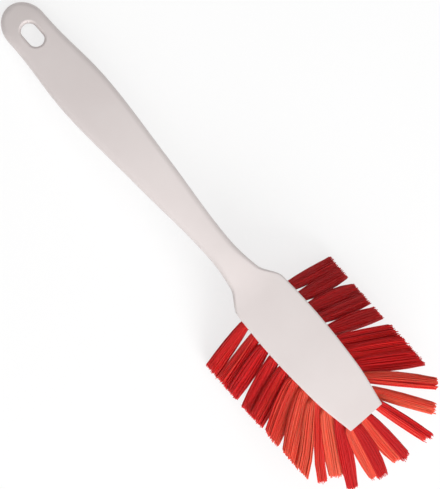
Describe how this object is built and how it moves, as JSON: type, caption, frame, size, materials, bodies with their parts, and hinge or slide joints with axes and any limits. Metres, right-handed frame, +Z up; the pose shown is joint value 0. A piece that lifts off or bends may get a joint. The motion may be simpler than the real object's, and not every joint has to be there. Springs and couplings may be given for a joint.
{
  "type": "dish brush",
  "caption": "Long-handled dish brush: one-piece moulded handle and head with a hanging slot, a scraping front edge and splayed bristle tufts round and under the head.",
  "frame": {"origin": "on the table, under the middle of the brush's box, with the brush put down back upwards", "axes": "+X from the end of the handle towards the head, +Y to the left of someone holding the handle with the head in front, +Z up off the table"},
  "size_m": [0.2768, 0.0808, 0.0585],
  "materials": {
    "white_plastic": "satin moulded polypropylene, warm white",
    "red_bristle": "extruded polyester filament, red, slightly glossy",
    "anchor_steel": "bright flat stainless wire"
  },
  "bodies": {
    "root": {"handle_and_head": "white_plastic", "tuft_left_1": "red_bristle", "tuft_left_2": "red_bristle", "tuft_left_3": "red_bristle", "tuft_left_4": "red_bristle", "tuft_left_5": "red_bristle", "tuft_left_6": "red_bristle", "tuft_left_7": "red_bristle", "tuft_left_8": "red_bristle", "tuft_left_9": "red_bristle", "tuft_left_10": "red_bristle", "tuft_front_1": "red_bristle", "tuft_front_2": "red_bristle", "tuft_front_3": "red_bristle", "tuft_right_1": "red_bristle", "tuft_right_2": "red_bristle", "tuft_right_3": "red_bristle", "tuft_right_4": "red_bristle", "tuft_right_5": "red_bristle", "tuft_right_6": "red_bristle", "tuft_right_7": "red_bristle", "tuft_right_8": "red_bristle", "tuft_right_9": "red_bristle", "tuft_right_10": "red_bristle", "tuft_inner_1": "red_bristle", "tuft_inner_2": "red_bristle", "tuft_inner_3": "red_bristle", "tuft_inner_4": "red_bristle", "tuft_inner_5": "red_bristle", "tuft_inner_6": "red_bristle", "anchor_left_1": "anchor_steel", "anchor_left_2": "anchor_steel", "anchor_left_3": "anchor_steel", "anchor_left_4": "anchor_steel", "anchor_left_5": "anchor_steel", "anchor_left_6": "anchor_steel", "anchor_left_7": "anchor_steel", "anchor_left_8": "anchor_steel", "anchor_left_9": "anchor_steel", "anchor_left_10": "anchor_steel", "anchor_front_1": "anchor_steel", "anchor_front_2": "anchor_steel", "anchor_front_3": "anchor_steel", "anchor_right_1": "anchor_steel", "anchor_right_2": "anchor_steel", "anchor_right_3": "anchor_steel", "anchor_right_4": "anchor_steel", "anchor_right_5": "anchor_steel", "anchor_right_6": "anchor_steel", "anchor_right_7": "anchor_steel", "anchor_right_8": "anchor_steel", "anchor_right_9": "anchor_steel", "anchor_right_10": "anchor_steel", "anchor_inner_1": "anchor_steel", "anchor_inner_2": "anchor_steel", "anchor_inner_3": "anchor_steel", "anchor_inner_4": "anchor_steel", "anchor_inner_5": "anchor_steel", "anchor_inner_6": "anchor_steel"}
  },
  "joints": []
}
